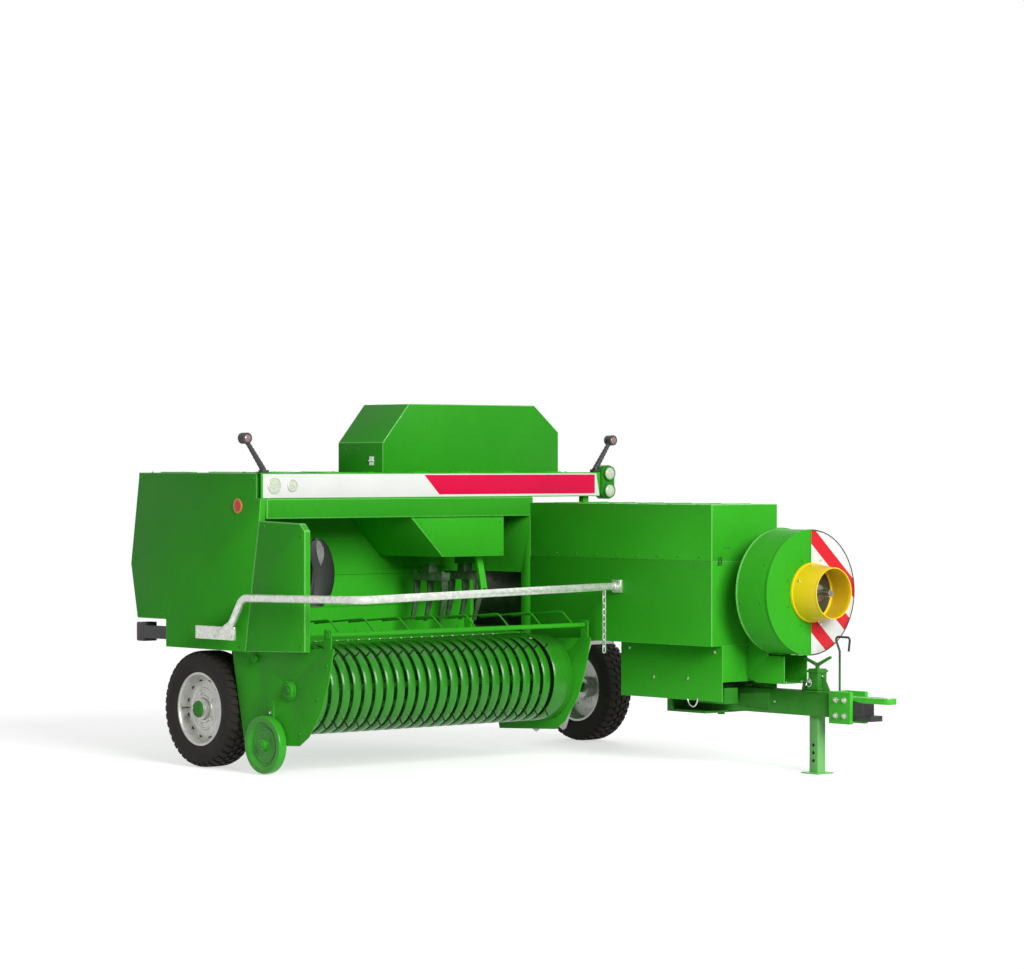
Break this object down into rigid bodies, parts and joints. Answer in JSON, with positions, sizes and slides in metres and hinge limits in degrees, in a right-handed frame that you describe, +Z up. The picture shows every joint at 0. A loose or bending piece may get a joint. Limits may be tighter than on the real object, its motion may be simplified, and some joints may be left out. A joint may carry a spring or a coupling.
{
  "type": "square baler",
  "caption": "Towed square baler: side pickup, feeder trough, bale chamber, flywheel input, drawbar with parking jack, two road wheels.",
  "frame": {"origin": "centre of the whole machine's box, on the ground", "axes": "+Z up, +Y towards the rear, +X towards the machine's left"},
  "size_m": [3.1064, 5.3521, 1.998],
  "materials": {
    "green": "satin",
    "dark_green": "satin",
    "strip_paint": "gloss",
    "board_paint": "satin",
    "yellow": "gloss",
    "black": "matte",
    "tyre": "matte",
    "silver": "satin",
    "galvanised": "satin",
    "steel": "satin",
    "cast": "matte"
  },
  "bodies": {
    "frame": {"chamber_left_wall": "green", "chamber_right_wall": "green", "chamber_floor": "green", "chamber_top": "green", "tension_rails": "dark_green", "tension_frames": "dark_green", "front_case": "green", "drive_cover": "green", "lower_skirt": "green", "gearbox": "cast", "plunger": "steel", "flywheel_cover": "green", "cover_pedestal": "green", "striped_board": "board_paint", "input_guard": "yellow", "header_strip": "strip_paint", "header_beam": "green", "roof": "green", "feeder_hood": "green", "trough": "green", "feeder_housing": "green", "feeder_forks": "steel", "side_cover": "green", "drive_guard": "green", "twine_box": "green", "axle": "dark_green", "drawbar_carrier": "dark_green", "guard_rail": "galvanised", "front_lights": "black", "tail_lamps": "black", "knotter": "steel", "needles": "steel"},
    "drawbar": {"drawbar": "green", "hitch": "green", "drawbar_fittings": "dark_green"},
    "jack": {"jack_leg": "green"},
    "flywheel": {"flywheel": "cast"},
    "pickup": {"pickup_plates": "green", "strippers": "green"},
    "reel": {"tine_reel": "steel"},
    "windguard": {"windguard": "green"},
    "gauge_wheel": {"gauge_wheel": "green"},
    "wheel_right": {"tyre_right": "tyre", "rim_right": "silver"},
    "wheel_left": {"tyre_left": "tyre", "rim_left": "silver"},
    "twine_door": {"twine_door": "green"},
    "chute": {"bale_chute": "green"},
    "star_wheel": {"star_wheel": "steel"}
  },
  "joints": [
    {"name": "wheel_right_spin", "type": "hinge", "parent": "frame", "child": "wheel_right", "pos_m": [-1.33425, 0.36792, 0.319], "axis": [1, 0, 0], "continuous": true},
    {"name": "wheel_left_spin", "type": "hinge", "parent": "frame", "child": "wheel_left", "pos_m": [1.45575, 0.36792, 0.319], "axis": [1, 0, 0], "continuous": true},
    {"name": "flywheel_spin", "type": "hinge", "parent": "frame", "child": "flywheel", "pos_m": [0.85075, -1.95908, 0.968], "axis": [0, 1, 0], "continuous": true},
    {"name": "drawbar_swing", "type": "hinge", "parent": "frame", "child": "drawbar", "pos_m": [0.85075, -1.39208, 0.375], "axis": [0, 0, 1], "range_deg": [-10, 10]},
    {"name": "jack_slide", "type": "slide", "parent": "drawbar", "child": "jack", "axis": [0, 0, 1], "range_m": [0, 0.145]},
    {"name": "pickup_lift", "type": "hinge", "parent": "frame", "child": "pickup", "pos_m": [-1.38525, -0.11208, 0.615], "axis": [-1, 0, 0], "range_deg": [0, 14]},
    {"name": "reel_spin", "type": "hinge", "parent": "pickup", "child": "reel", "pos_m": [-1.38525, -0.40408, 0.456], "axis": [1, 0, 0], "continuous": true},
    {"name": "windguard_swing", "type": "hinge", "parent": "pickup", "child": "windguard", "pos_m": [-1.38525, -0.72408, 0.761], "axis": [1, 0, 0], "range_deg": [0, 40]},
    {"name": "gauge_wheel_spin", "type": "hinge", "parent": "pickup", "child": "gauge_wheel", "pos_m": [-1.42425, -0.24208, 0.161], "axis": [1, 0, 0], "continuous": true},
    {"name": "twine_door_open", "type": "hinge", "parent": "frame", "child": "twine_door", "pos_m": [-1.43125, 0.90392, 1.568], "axis": [1, 0, 0], "range_deg": [0, 95]},
    {"name": "chute_fold", "type": "hinge", "parent": "frame", "child": "chute", "pos_m": [0.74475, 2.08192, 0.682], "axis": [1, 0, 0], "range_deg": [0, 85]},
    {"name": "star_wheel_spin", "type": "hinge", "parent": "frame", "child": "star_wheel", "pos_m": [0.74475, 0.80792, 1.12], "axis": [1, 0, 0], "continuous": true}
  ]
}
